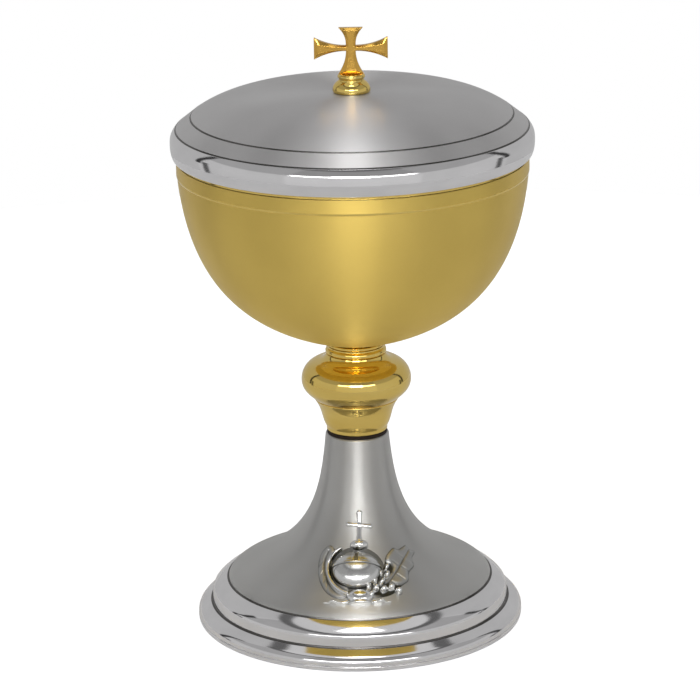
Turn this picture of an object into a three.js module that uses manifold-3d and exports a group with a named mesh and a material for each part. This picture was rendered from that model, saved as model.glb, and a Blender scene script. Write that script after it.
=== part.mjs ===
// A covered ciborium: a gilt cup on a turned stem, a silvered trumpet foot with a cast emblem,
// and a lift-off lid with a cross finial. Millimetres, +Z up, the foot stands on z = 0, and the
// emblem faces -Y. The cup, stem and foot are clamped together by one long tie rod.
import * as THREE from "three";
import { mergeVertices } from "three/addons/utils/BufferGeometryUtils.js";
import Module from "manifold-3d";

// Driving dimensions.
const FOOT_RADIUS = 60;
const FOOT_TOP = 70.6;
const STEM_WASHER_TOP = 71.9;
const FERRULE_TOP = 84.1;
const KNOP_RADIUS = 20;
const KNOP_TOP = 101;
const BOWL_BOTTOM = 105.2;
const BOWL_RADIUS = 63.2;
const BAND_BOTTOM = 168.8;
const SEAT_BOTTOM = 174.6;
const RIM_TOP = 185.2;
const LID_RADIUS = 65.1;
const SKIRT_BOTTOM = 175.4;
const CROWN_RADIUS = 57.4;
const CROWN_EDGE = 190;
const CROWN_TOP = 197.8;
const CROSS_BOTTOM = 204.6;
const CROSS_TOP = 221.1;
const CROSS_SPAN = 26.2;
const CROSS_DEPTH = 3.2;

const FACE_GAP = 0.1; // between stacked faces
const LOOSE_GAP = 0.3; // between a piece and the one cut to fit it
const WALL = 1.2; // spun sheet
const ROD_RADIUS = 3;
const BORE_RADIUS = 3.4; // every clearance hole on the tie rod
const SOCKET_RADIUS = 6.5;
const STUD_RADIUS = 2;
const POST_RADIUS = 1.25;

const WIDE_SIDES = 36; // segments round the cup, lid and foot
const STEM_SIDES = 24; // segments round the knop and its collars
const SLIM_SIDES = 16; // segments round rods and washers
const CURVE_STEPS = 4;
const FLARE_STEPS = 9;

// Materials, one per finish.
const finish = (color, roughness) => new THREE.MeshStandardMaterial({ color, roughness, metalness: 1 });
const gilt = () => finish(0xc9a84c, 0.12);
const satinGilt = () => finish(0xb89e53, 0.38);
const satinSilver = () => finish(0x96948f, 0.36);
const brightSilver = () => finish(0xb8b8b6, 0.12);
const steel = () => finish(0x9a9a9a, 0.3);
const blackFibre = () => new THREE.MeshStandardMaterial({ color: 0x2a2018, roughness: 0.6, metalness: 0 });

const wasm = await Module();
wasm.setup();

// A closed geometry as a manifold-3d solid, and back.
function solid(geometry) {
  const bare = geometry.clone();
  bare.deleteAttribute("normal");
  bare.deleteAttribute("uv");
  const merged = mergeVertices(bare, 1e-4);
  const vertProperties = new Float32Array(merged.attributes.position.array);
  const triVerts = new Uint32Array(merged.index.array);
  return new wasm.Manifold(new wasm.Mesh({ numProp: 3, vertProperties, triVerts }));
}

function geometryOf(body) {
  const mesh = body.getMesh();
  const geometry = new THREE.BufferGeometry();
  geometry.setAttribute("position", new THREE.BufferAttribute(mesh.vertProperties, 3));
  geometry.setIndex(new THREE.BufferAttribute(mesh.triVerts, 1));
  geometry.computeVertexNormals();
  return geometry;
}

const joined = (bodies) => bodies.reduce((all, body) => all.add(body));

// Turns an outline about Z. Outlines are in (radius, height), up on the outside, down on the inside.
function turned(points, sides = WIDE_SIDES) {
  return new THREE.LatheGeometry(points, sides).rotateX(Math.PI / 2);
}

// A turned piece from the corners of its outline, which closes on itself.
function turnedCorners(corners, sides = SLIM_SIDES) {
  const points = corners.map(([radius, height]) => new THREE.Vector2(radius, height));
  return turned([...points, points[0].clone()], sides);
}

function washer(bore, radius, bottom, top) {
  return turnedCorners([
    [bore, bottom],
    [radius, bottom],
    [radius, top],
    [bore, top],
  ]);
}

// A rod on the Z axis with chamfered ends.
function rod(radius, bottom, top, chamfer = 0.5) {
  const outline = [
    [0, bottom],
    [radius - chamfer, bottom],
    [radius, bottom + chamfer],
    [radius, top - chamfer],
    [radius - chamfer, top],
    [0, top],
  ];
  return turned(outline.map(([x, y]) => new THREE.Vector2(x, y)), SLIM_SIDES);
}

function hexNut(acrossFlats, bore, bottom, height) {
  const corner = acrossFlats / Math.sqrt(3);
  const outline = new THREE.Shape();
  for (let side = 0; side < 6; side++) {
    const angle = (side * Math.PI) / 3;
    if (side === 0) outline.moveTo(corner, 0);
    else outline.lineTo(corner * Math.cos(angle), corner * Math.sin(angle));
  }
  outline.closePath();
  outline.holes.push(new THREE.Path().absarc(0, 0, bore, 0, 2 * Math.PI, true));
  const nut = new THREE.ExtrudeGeometry(outline, { depth: height, bevelEnabled: false, curveSegments: 8 });
  return nut.translate(0, 0, bottom);
}

// ---------------------------------------------------------------- foot

// The satin flare from the shoulder of the base up to the neck.
const flare = new THREE.CubicBezierCurve(
  new THREE.Vector2(43.5, 19.4),
  new THREE.Vector2(17.8, 30.1),
  new THREE.Vector2(13.8, 46.4),
  new THREE.Vector2(11.6, FOOT_TOP - 0.4),
);

// Points a distance outside the flare, from its shoulder up.
function flareOffset(distance) {
  return flare.getPoints(FLARE_STEPS).map((point, step) => {
    const tangent = flare.getTangent(step / FLARE_STEPS);
    return new THREE.Vector2(point.x + tangent.y * distance, point.y - tangent.x * distance);
  });
}

// The place on the flare curve where a rising measure of the curve reaches a target.
function onCurve(reached) {
  let low = 0;
  let high = 1;
  for (let halving = 0; halving < 40; halving++) {
    const middle = (low + high) / 2;
    if (reached(flare.getPoint(middle))) high = middle;
    else low = middle;
  }
  const point = flare.getPoint(low);
  const tangent = flare.getTangent(low);
  return { radius: point.x, height: point.y, tilt: Math.atan2(tangent.y, -tangent.x) };
}

// The relief is drawn on a plane that leans back, and carried onto the foot square to that plane.
const LEAN = THREE.MathUtils.degToRad(21.5);
const RELIEF_ORIGIN = new THREE.Vector3(0, -29, 27.6);
const RELIEF_UP = new THREE.Vector3(0, Math.sin(LEAN), Math.cos(LEAN));
const RELIEF_OUT = new THREE.Vector3(0, -Math.cos(LEAN), Math.sin(LEAN));

// Places a piece that is modelled with +Z off the foot at a point of the drawing.
function ontoFoot(geometry, across, up) {
  const drawn = RELIEF_ORIGIN.clone().addScaledVector(RELIEF_UP, up);
  drawn.x = across;
  let inside = -15;
  let outside = 15;
  for (let halving = 0; halving < 40; halving++) {
    const middle = (inside + outside) / 2;
    const point = drawn.clone().addScaledVector(RELIEF_OUT, middle);
    const surface = onCurve((onFlare) => onFlare.y > point.z);
    if (Math.hypot(point.x, point.y) > surface.radius) outside = middle;
    else inside = middle;
  }
  const point = drawn.addScaledVector(RELIEF_OUT, inside);
  const seat = onCurve((onFlare) => onFlare.y > point.z);
  geometry.rotateX(seat.tilt).translate(0, -seat.radius, seat.height);
  return geometry.rotateZ(Math.asin(across / seat.radius));
}

const POST_SEATS = { upper: 1, lower: -9 }; // up the drawing of the relief

function footShell() {
  const base = new THREE.Path();
  base.moveTo(FOOT_RADIUS - 2.4, 0);
  base.lineTo(FOOT_RADIUS - 0.6, 0);
  base.bezierCurveTo(FOOT_RADIUS + 0.2, 0.6, FOOT_RADIUS + 0.2, 2.8, 59.1, 4.6);
  base.quadraticCurveTo(58.6, 5.3, 57.6, 5.75);
  base.lineTo(55.35, 6.95);
  base.lineTo(54.8, 6.8);
  base.lineTo(54.5, 7.5);
  base.bezierCurveTo(54.55, 9.6, 54.45, 11.2, 53.9, 11.9);
  base.lineTo(52.9, 12.9);
  base.lineTo(49.2, 15.3);
  base.lineTo(48.8, 15.05);
  base.lineTo(48.3, 15.85);
  base.quadraticCurveTo(47.8, 17.5, flare.v0.x, flare.v0.y);
  const neck = new THREE.Path();
  neck.moveTo(11.2, FOOT_TOP);
  neck.lineTo(BORE_RADIUS, FOOT_TOP);
  neck.lineTo(BORE_RADIUS, FOOT_TOP - WALL);
  neck.lineTo(10.3, FOOT_TOP - WALL);
  const inside = new THREE.Path();
  inside.moveTo(47.5, 14.2);
  inside.quadraticCurveTo(51.7, 12.2, 53.4, 7);
  inside.lineTo(54.8, 5.6);
  inside.quadraticCurveTo(57.8, 4.2, 57.6, 0);
  const outline = [
    ...base.getPoints(CURVE_STEPS),
    ...flareOffset(0).slice(1),
    ...neck.getPoints(1),
    ...flareOffset(-WALL).reverse().slice(1),
    ...inside.getPoints(CURVE_STEPS),
  ];
  let body = solid(turned(outline));
  for (const up of Object.values(POST_SEATS)) {
    const drill = rod(POST_RADIUS + LOOSE_GAP, -6, 6, 0);
    body = body.subtract(solid(ontoFoot(drill, 0, up)));
  }
  return geometryOf(body);
}

// ---------------------------------------------------------------- emblem

const RELIEF = { leaf: 1.6, rim: 2.6, knot: 3 }; // heights above the foot

// A solid of revolution between two heights above the foot's surface.
function flareSkin(from, to) {
  const outer = flareOffset(to);
  return solid(turned([...outer, ...flareOffset(from).reverse(), outer[0].clone()]));
}

// An outline of the drawing, raised to a height that follows the foot.
function raised(corners, height) {
  const [first, ...rest] = corners.map(([x, y]) => new THREE.Vector2(x, y));
  const outline = new THREE.Shape();
  outline.moveTo(first.x, first.y);
  outline.splineThru([...rest, first.clone()]);
  const block = new THREE.ExtrudeGeometry(outline, { depth: 30, bevelEnabled: false, curveSegments: 2 });
  block.translate(0, 0, -15).rotateX(Math.PI / 2 - LEAN);
  block.translate(RELIEF_ORIGIN.x, RELIEF_ORIGIN.y, RELIEF_ORIGIN.z);
  return solid(block).intersect(flareSkin(LOOSE_GAP, height));
}

// A ball or a block at a point of the drawing, its centre at a height above the foot.
function ball(radius, across, up, height, stretch = [1, 1, 1]) {
  const sides = radius > 4 ? 16 : 8;
  const sphere = new THREE.SphereGeometry(radius, sides, radius > 4 ? 10 : 6);
  sphere.scale(...stretch).translate(0, 0, height);
  return solid(ontoFoot(sphere, across, up));
}

function bar(width, length, up, height) {
  const box = new THREE.BoxGeometry(width, length, 2).translate(0, 0, height);
  return solid(ontoFoot(box, 0, up));
}

function emblem() {
  const leftLeaf = [
    [-11, 8.6],
    [-14.3, 4],
    [-14.7, -4],
    [-12.4, -8.4],
    [-8, -11.6],
    [-2, -10],
    [-4, -5],
    [-6, 0],
    [-7.4, 6],
  ];
  const rightLeaf = [
    [9, 4.5],
    [13.6, 6.8],
    [18.8, 6.2],
    [19.2, 1.8],
    [17.8, -4],
    [14.6, -9],
    [6, -11.5],
    [2, -11],
    [3.4, -6.6],
    [4.6, -4],
    [8.4, 0],
  ];
  const knot = [
    [-5.4, -8.6],
    [-6, -13],
    [0, -14.2],
    [6, -13],
    [5.4, -8.6],
    [0, -6.4],
  ];
  const crescentRim = [
    [-8.4, 9.2],
    [-10.4, 5],
    [-10.3, 0],
    [-8.7, -4.5],
    [-5.4, -8.6],
    [-4.4, -7.8],
    [-7.6, -4],
    [-9, 0],
    [-9.1, 4.6],
  ];
  const plates = [
    raised(leftLeaf, RELIEF.leaf),
    raised(rightLeaf, RELIEF.leaf),
    raised(crescentRim, RELIEF.rim),
    raised(knot, RELIEF.knot),
  ];
  const orb = ball(7, -0.9, 0, 2);
  const mound = ball(2.6, 0, 8.7, 1.6, [1.5, 1, 0.9]);
  const cross = [bar(1.5, 11, 16, 1.5), bar(8, 1.5, 16.2, 1.5)];
  const grains = [];
  for (let grain = 0; grain < 4; grain++) {
    grains.push(ball(1.5, 3.8 + grain * 2, -6.8 + grain * 2.4, 1.7));
    grains.push(ball(1.5, 5.5 + grain * 2.9, -9.6 + grain * 0.6, 1.7));
  }
  const footBody = flareSkin(-15, LOOSE_GAP);
  let body = joined([...plates, orb, mound, ...cross, ...grains]).subtract(footBody);
  for (const up of Object.values(POST_SEATS)) {
    const socket = rod(POST_RADIUS + LOOSE_GAP, -2, 1.6, 0);
    body = body.subtract(solid(ontoFoot(socket, 0, up)));
  }
  return geometryOf(body);
}

const emblemPost = (up) => ontoFoot(rod(POST_RADIUS, -6, 1.3, 0.3), 0, up);
const emblemNut = (up) => ontoFoot(hexNut(4.5, POST_RADIUS + LOOSE_GAP, -4.2, 2), 0, up);

// ---------------------------------------------------------------- stem

function knopFerrule() {
  const outline = new THREE.Path();
  outline.moveTo(9.4, STEM_WASHER_TOP + FACE_GAP);
  outline.lineTo(10.9, STEM_WASHER_TOP + FACE_GAP);
  outline.lineTo(11.15, 72.3);
  outline.lineTo(11.15, 73.4);
  outline.bezierCurveTo(13.1, 76.4, 12.4, 79.5, 15.4, FERRULE_TOP - 0.3);
  outline.lineTo(15.2, FERRULE_TOP);
  outline.lineTo(13.8, FERRULE_TOP);
  outline.lineTo(13.8, FERRULE_TOP + 1.9);
  outline.lineTo(12.4, FERRULE_TOP + 1.9);
  outline.lineTo(12.4, FERRULE_TOP);
  outline.lineTo(BORE_RADIUS, FERRULE_TOP);
  outline.lineTo(BORE_RADIUS, FERRULE_TOP - 1.7);
  outline.lineTo(12.4, FERRULE_TOP - 1.7);
  outline.lineTo(10.9, 78);
  outline.lineTo(9.9, 74);
  outline.closePath();
  return turned(outline.getPoints(CURVE_STEPS), STEM_SIDES);
}

function knop() {
  const outline = new THREE.Path();
  const bottom = FERRULE_TOP + FACE_GAP;
  outline.moveTo(14.1, bottom);
  outline.lineTo(15.5, bottom);
  outline.bezierCurveTo(17.6, 86.2, KNOP_RADIUS, 87.6, KNOP_RADIUS, 91);
  outline.bezierCurveTo(KNOP_RADIUS, 95.2, 17.2, 97.6, 14.2, 98.2);
  outline.quadraticCurveTo(11.6, 98.7, 10.9, KNOP_TOP);
  outline.lineTo(SOCKET_RADIUS + LOOSE_GAP, KNOP_TOP);
  outline.lineTo(SOCKET_RADIUS + LOOSE_GAP, KNOP_TOP - 1.6);
  outline.lineTo(9.6, KNOP_TOP - 1.6);
  outline.bezierCurveTo(11.4, 96.4, 18.4, 96.2, 18.4, 91);
  outline.quadraticCurveTo(18.4, 87.6, 14.1, 85.6);
  outline.closePath();
  return turned(outline.getPoints(CURVE_STEPS), STEM_SIDES);
}

function collarLower() {
  return turnedCorners([
    [SOCKET_RADIUS + LOOSE_GAP, KNOP_TOP + FACE_GAP],
    [10.8, KNOP_TOP + FACE_GAP],
    [11.1, 101.5],
    [11.1, 102.6],
    [10.4, 103.2],
    [10.2, 103.8],
    [SOCKET_RADIUS + LOOSE_GAP, 103.8],
  ], STEM_SIDES);
}

function collarUpper() {
  return turnedCorners([
    [SOCKET_RADIUS + LOOSE_GAP, 103.9],
    [9.8, 103.9],
    [10.4, 104.3],
    [10.4, 104.9],
    [10, 105.2],
    [SOCKET_RADIUS + LOOSE_GAP, 105.1],
  ], STEM_SIDES);
}

function cupSocket() {
  const outline = [
    [0, 103.6],
    [ROD_RADIUS + 0.1, 103.6],
    [ROD_RADIUS + 0.1, 96],
    [SOCKET_RADIUS, 96],
    [SOCKET_RADIUS, BOWL_BOTTOM - FACE_GAP],
    [0, BOWL_BOTTOM - FACE_GAP],
  ];
  return turned(outline.map(([x, y]) => new THREE.Vector2(x, y)), SLIM_SIDES);
}

// A split spring washer: a flat ring with a narrow gap.
function lockWasher() {
  const gapAngle = 0.12;
  const outline = new THREE.Shape();
  outline.absarc(0, 0, 5.4, gapAngle, 2 * Math.PI - gapAngle, false);
  outline.absarc(0, 0, BORE_RADIUS, 2 * Math.PI - gapAngle, gapAngle, true);
  const ring = new THREE.ExtrudeGeometry(outline, { depth: 1.6, bevelEnabled: false, curveSegments: 12 });
  return ring.translate(0, 0, 66.2);
}

// ---------------------------------------------------------------- cup

function cupBowl() {
  const outline = new THREE.Path();
  outline.moveTo(0, BOWL_BOTTOM);
  outline.lineTo(7, BOWL_BOTTOM);
  outline.quadraticCurveTo(11.4, 105.6, 15, 107.1);
  outline.bezierCurveTo(37.2, 113.9, 59.3, 126, 62.95, BAND_BOTTOM);
  outline.lineTo(BOWL_RADIUS - 0.1, BAND_BOTTOM + 0.2);
  outline.lineTo(BOWL_RADIUS, SEAT_BOTTOM - 0.2);
  outline.lineTo(62.7, SEAT_BOTTOM);
  outline.lineTo(62.7, RIM_TOP - 0.6);
  outline.lineTo(62.3, RIM_TOP);
  outline.lineTo(61.9, RIM_TOP);
  outline.lineTo(61.5, RIM_TOP - 0.6);
  outline.lineTo(61.7, BAND_BOTTOM);
  outline.bezierCurveTo(58.1, 126.8, 36.9, 115.2, 14.6, 108.3);
  outline.quadraticCurveTo(11, 106.8, 0, 106.4);
  return turned(outline.getPoints(2 * CURVE_STEPS));
}

// ---------------------------------------------------------------- lid

// The crown is nearly flat over the middle and turns down towards its edge.
function crownPoints(drop, from, to) {
  const steps = 6;
  const points = [];
  for (let step = 0; step <= steps; step++) {
    const radius = from + ((to - from) * step) / steps;
    const height = CROWN_TOP - (CROWN_TOP - CROWN_EDGE) * (radius / CROWN_RADIUS) ** 4.9;
    points.push(new THREE.Vector2(radius, height - drop));
  }
  return points;
}

function lidShell() {
  const hole = STUD_RADIUS + LOOSE_GAP;
  const skirt = new THREE.Path();
  skirt.moveTo(63.1, SKIRT_BOTTOM);
  skirt.quadraticCurveTo(63.9, SKIRT_BOTTOM - 0.1, 64.4, 176);
  skirt.bezierCurveTo(LID_RADIUS + 0.2, 177.6, LID_RADIUS + 0.2, 181, 64.7, 183.2);
  skirt.quadraticCurveTo(64.2, 184.8, 62.7, 186.1);
  skirt.lineTo(62.3, 186);
  skirt.lineTo(61.9, 186.7);
  skirt.lineTo(58.7, 189.3);
  skirt.quadraticCurveTo(58.5, 190.1, CROWN_RADIUS, CROWN_EDGE);
  const inside = new THREE.Path();
  inside.moveTo(60.6, 186);
  inside.lineTo(62.8, 185.4);
  inside.lineTo(63.1, 184.8);
  inside.lineTo(63.1, SKIRT_BOTTOM);
  const points = [
    ...skirt.getPoints(CURVE_STEPS - 1),
    ...crownPoints(0, CROWN_RADIUS, hole).slice(1),
    ...crownPoints(0.9, hole, CROWN_RADIUS - 0.8),
    ...inside.getPoints(1),
  ];
  return turned(points);
}

function finialBase() {
  const outline = new THREE.Path();
  outline.moveTo(0, 202.6);
  outline.lineTo(STUD_RADIUS + 0.15, 202.6);
  outline.lineTo(STUD_RADIUS + 0.15, CROWN_TOP + FACE_GAP);
  outline.lineTo(6.4, CROWN_TOP + FACE_GAP);
  outline.lineTo(6.8, 198.3);
  outline.lineTo(6.8, 199.2);
  outline.quadraticCurveTo(6.4, 200.8, 4.8, 201.8);
  outline.lineTo(4.5, 202.6);
  outline.lineTo(4.9, 203.1);
  outline.lineTo(4.9, 203.9);
  outline.lineTo(4.3, CROSS_BOTTOM - FACE_GAP);
  outline.lineTo(0, CROSS_BOTTOM - FACE_GAP);
  return turned(outline.getPoints(4), SLIM_SIDES);
}

// A cross with arms that widen along hollow curves to straight ends.
function finialCross() {
  const bevel = 0.4;
  const side = CROSS_SPAN / 2 - bevel;
  const centre = 213.7 - CROSS_BOTTOM;
  const top = CROSS_TOP - CROSS_BOTTOM - bevel;
  const arm = { waist: 0.7, end: 3.5 };
  const upright = { waist: 1.5, topEnd: 3.9, bottomEnd: 4 };
  const outline = new THREE.Shape();
  outline.moveTo(-upright.bottomEnd, bevel);
  outline.lineTo(upright.bottomEnd, bevel);
  outline.quadraticCurveTo(upright.waist, 4.4, upright.waist, centre - arm.waist);
  outline.quadraticCurveTo(8, centre - arm.waist, side, centre - arm.end);
  outline.lineTo(side, centre + arm.end);
  outline.quadraticCurveTo(8, centre + arm.waist, upright.waist, centre + arm.waist);
  outline.quadraticCurveTo(upright.waist, 13, upright.topEnd, top);
  outline.lineTo(-upright.topEnd, top);
  outline.quadraticCurveTo(-upright.waist, 13, -upright.waist, centre + arm.waist);
  outline.quadraticCurveTo(-8, centre + arm.waist, -side, centre + arm.end);
  outline.lineTo(-side, centre - arm.end);
  outline.quadraticCurveTo(-8, centre - arm.waist, -upright.waist, centre - arm.waist);
  outline.quadraticCurveTo(-upright.waist, 4.4, -upright.bottomEnd, bevel);
  const cross = new THREE.ExtrudeGeometry(outline, {
    depth: CROSS_DEPTH - 2 * bevel,
    bevelThickness: bevel,
    bevelSize: bevel,
    bevelSegments: 1,
    curveSegments: 6,
  });
  cross.translate(0, 0, bevel - CROSS_DEPTH / 2).rotateX(Math.PI / 2);
  return cross.translate(0, 0, CROSS_BOTTOM);
}

// ---------------------------------------------------------------- assembly

function piece(name, geometry, material) {
  const mesh = new THREE.Mesh(geometry, material);
  mesh.name = name;
  return mesh;
}

function lid() {
  const group = new THREE.Group();
  group.add(piece("lid_shell", lidShell(), satinSilver()));
  group.add(piece("finial_base", finialBase(), gilt()));
  group.add(piece("finial_cross", finialCross(), gilt()));
  group.add(piece("finial_stud", rod(STUD_RADIUS, 190.8, 202.4), steel()));
  group.add(piece("finial_washer", washer(STUD_RADIUS + 0.15, 5, 195.9, 196.8), steel()));
  group.add(piece("finial_nut", hexNut(7, STUD_RADIUS + 0.15, 192.6, 3.2), steel()));
  return group;
}

function stem() {
  const group = new THREE.Group();
  group.add(piece("cup_socket", cupSocket(), gilt()));
  group.add(piece("collar_upper", collarUpper(), gilt()));
  group.add(piece("collar_lower", collarLower(), gilt()));
  group.add(piece("knop", knop(), gilt()));
  group.add(piece("knop_ferrule", knopFerrule(), gilt()));
  const washerBottom = FOOT_TOP + FACE_GAP;
  group.add(piece("stem_washer", washer(BORE_RADIUS, 11, washerBottom, STEM_WASHER_TOP), blackFibre()));
  group.add(piece("tie_rod", rod(ROD_RADIUS, 57.5, 103), steel()));
  group.add(piece("tie_washer", washer(BORE_RADIUS, 9.4, 67.9, 69.3), steel()));
  group.add(piece("lock_washer", lockWasher(), steel()));
  group.add(piece("tie_nut", hexNut(10, ROD_RADIUS + 0.15, 61, 5.1), steel()));
  return group;
}

function foot() {
  const group = new THREE.Group();
  group.add(piece("foot_shell", footShell(), satinSilver()));
  group.add(piece("emblem", emblem(), brightSilver()));
  for (const [place, up] of Object.entries(POST_SEATS)) {
    group.add(piece(`emblem_post_${place}`, emblemPost(up), steel()));
    group.add(piece(`emblem_nut_${place}`, emblemNut(up), steel()));
  }
  return group;
}

const group = new THREE.Group();
group.add(foot());
group.add(stem());
group.add(piece("cup_bowl", cupBowl(), satinGilt()));
group.add(lid());

export default group;
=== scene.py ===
"""A covered ciborium: a gilt cup on a turned stem, a silvered trumpet foot with a cast emblem, and
a lift-off lid with a cross finial. Every CAD node is shown by a finer piece of nearly the same outline.
Outlines are in millimetres, (radius, height), and objects are in metres.
"""
import math

import bpy
import numpy as np
from mathutils import Matrix, Vector

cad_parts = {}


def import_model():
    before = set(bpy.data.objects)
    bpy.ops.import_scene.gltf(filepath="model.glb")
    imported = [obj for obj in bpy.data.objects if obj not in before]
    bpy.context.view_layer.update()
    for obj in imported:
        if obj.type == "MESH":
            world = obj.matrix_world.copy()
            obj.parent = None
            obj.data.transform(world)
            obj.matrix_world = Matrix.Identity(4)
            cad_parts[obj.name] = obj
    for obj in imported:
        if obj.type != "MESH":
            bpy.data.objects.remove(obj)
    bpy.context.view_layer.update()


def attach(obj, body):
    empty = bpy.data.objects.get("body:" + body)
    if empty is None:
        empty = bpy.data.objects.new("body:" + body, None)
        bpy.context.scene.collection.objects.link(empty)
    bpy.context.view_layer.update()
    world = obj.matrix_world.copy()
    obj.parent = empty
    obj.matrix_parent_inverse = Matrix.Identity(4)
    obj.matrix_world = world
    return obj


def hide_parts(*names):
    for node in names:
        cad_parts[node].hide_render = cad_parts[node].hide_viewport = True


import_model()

MM = 0.001

# Driving dimensions, in millimetres.
FOOT_RADIUS = 60
FOOT_TOP = 70.6
STEM_WASHER_TOP = 71.9
FERRULE_TOP = 84.1
KNOP_RADIUS = 20
KNOP_TOP = 101
BOWL_BOTTOM = 105.2
BOWL_RADIUS = 63.2
BAND_BOTTOM = 168.8
SEAT_BOTTOM = 174.6
RIM_TOP = 185.2
LID_RADIUS = 65.1
SKIRT_BOTTOM = 175.4
CROWN_RADIUS = 57.4
CROWN_EDGE = 190
CROWN_TOP = 197.8
CROSS_BOTTOM = 204.6
CROSS_TOP = 221.1
CROSS_CENTRE = 213.7
CROSS_SPAN = 26.2
CROSS_DEPTH = 3.2
BORE_RADIUS = 3.4
SOCKET_RADIUS = 6.5
STUD_RADIUS = 2
POST_RADIUS = 1.25
FACE_GAP = 0.1
LOOSE_GAP = 0.3
WALL = 1.2

WIDE_SIDES = 160
STEM_SIDES = 112
SLIM_SIDES = 64


# ---------------------------------------------------------------- materials


class Shade:
    """One material, built node by node on its Principled surface."""

    def __init__(self, name):
        self.material = bpy.data.materials.new(name)
        self.material.use_nodes = True
        self.tree = self.material.node_tree
        self.surface = self.tree.nodes["Principled BSDF"]

    def node(self, kind, **settings):
        node = self.tree.nodes.new(kind)
        for key, value in settings.items():
            setattr(node, key, value)
        return node

    def feed(self, socket, value):
        """Links an output to the socket, or sets the socket to a plain value."""
        if isinstance(value, bpy.types.NodeSocket):
            self.tree.links.new(value, socket)
        else:
            socket.default_value = value

    def math(self, operation, first, second=0.0):
        node = self.node("ShaderNodeMath", operation=operation)
        self.feed(node.inputs[0], first)
        self.feed(node.inputs[1], second)
        return node.outputs[0]

    def vector(self, operation, first, second=None):
        node = self.node("ShaderNodeVectorMath", operation=operation)
        self.feed(node.inputs[0], first)
        if second is not None:
            self.feed(node.inputs["Scale"] if operation == "SCALE" else node.inputs[1], second)
        return node.outputs["Value"] if operation == "LENGTH" else node.outputs["Vector"]

    def position(self):
        return self.node("ShaderNodeTexCoord").outputs["Object"]

    def noise(self, vector, scale, detail=2.0):
        node = self.node("ShaderNodeTexNoise")
        self.feed(node.inputs["Vector"], vector)
        self.feed(node.inputs["Scale"], scale)
        self.feed(node.inputs["Detail"], detail)
        return node.outputs["Fac"]

    def between(self, value, low, high, start=0.3, end=0.7):
        """The value, from start to end, spread over low to high."""
        node = self.node("ShaderNodeMapRange")
        self.feed(node.inputs["Value"], value)
        for socket, setting in zip(node.inputs[1:5], (start, end, low, high)):
            socket.default_value = setting
        return node.outputs["Result"]

    def mix(self, factor, first, second):
        node = self.node("ShaderNodeMix", data_type="RGBA")
        self.feed(node.inputs[0], factor)
        self.feed(node.inputs[6], first)
        self.feed(node.inputs[7], second)
        return node.outputs[2]

    def bump(self, height, depth, under=None):
        node = self.node("ShaderNodeBump")
        self.feed(node.inputs["Height"], height)
        self.feed(node.inputs["Distance"], depth)
        if under is not None:
            self.feed(node.inputs["Normal"], under)
        return node.outputs["Normal"]

    def lathe_marks(self, radius_share, height_share, swirl):
        """A vector that is quick along a turned outline and slow round the Z axis."""
        position = self.position()
        flat = self.vector("MULTIPLY", position, (1, 1, 0))
        split = self.node("ShaderNodeSeparateXYZ")
        self.feed(split.inputs[0], position)
        along_radius = self.math("MULTIPLY", self.vector("LENGTH", flat), radius_share)
        along_height = self.math("MULTIPLY", split.outputs["Z"], height_share)
        along = self.node("ShaderNodeCombineXYZ")
        self.feed(along.inputs["Z"], self.math("ADD", along_radius, along_height))
        around = self.vector("SCALE", self.vector("NORMALIZE", flat), swirl)
        return self.vector("ADD", around, along.outputs[0])

    def done(self, **sockets):
        for name, value in sockets.items():
            self.feed(self.surface.inputs[name.replace("_", " ")], value)
        return self.material


def satin_metal(name, light, dark, rough, height_share):
    """Metal brushed round the Z axis, so that its highlights run up and down."""
    shade = Shade(name)
    marks = shade.lathe_marks(1.0, height_share, swirl=1.2)
    fine = shade.noise(marks, scale=5200.0, detail=1.0)
    coarse = shade.noise(marks, scale=1100.0, detail=3.0)
    clouds = shade.noise(shade.position(), scale=38.0, detail=4.0)
    lines = shade.math("ADD", shade.math("MULTIPLY", fine, 0.6), shade.math("MULTIPLY", coarse, 0.4))
    tone = shade.math("ADD", shade.math("MULTIPLY", lines, 0.6), shade.math("MULTIPLY", clouds, 0.4))
    tangent = shade.node("ShaderNodeTangent", direction_type="RADIAL", axis="Z")
    shade.surface.inputs["Anisotropic"].default_value = 0.9
    shade.surface.inputs["Anisotropic Rotation"].default_value = 0.25
    return shade.done(
        Base_Color=shade.mix(shade.between(tone, 0.0, 1.0), dark, light),
        Metallic=1.0,
        Roughness=shade.between(tone, rough + 0.05, rough - 0.05),
        Tangent=tangent.outputs["Tangent"],
        Normal=shade.bump(lines, 0.000012),
    )


def polished_metal(name, light, dark, rough=0.07):
    """Buffed metal with a faint ripple, wiping marks and hairline scratches."""
    shade = Shade(name)
    position = shade.position()
    ripple = shade.noise(position, scale=90.0)
    wipes = shade.noise(shade.vector("MULTIPLY", position, (1.0, 1.0, 3.5)), scale=60.0, detail=5.0)
    hairs = shade.noise(shade.lathe_marks(1.0, 1.0, swirl=3.0), scale=1600.0)
    finish = shade.math("ADD", shade.math("MULTIPLY", wipes, 0.7), shade.math("MULTIPLY", hairs, 0.3))
    return shade.done(
        Base_Color=shade.mix(shade.between(wipes, 0.0, 1.0), light, dark),
        Metallic=1.0,
        Roughness=shade.between(finish, rough - 0.02, rough + 0.04),
        Normal=shade.bump(hairs, 0.0000012, shade.bump(ripple, 0.00003)),
    )


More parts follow.
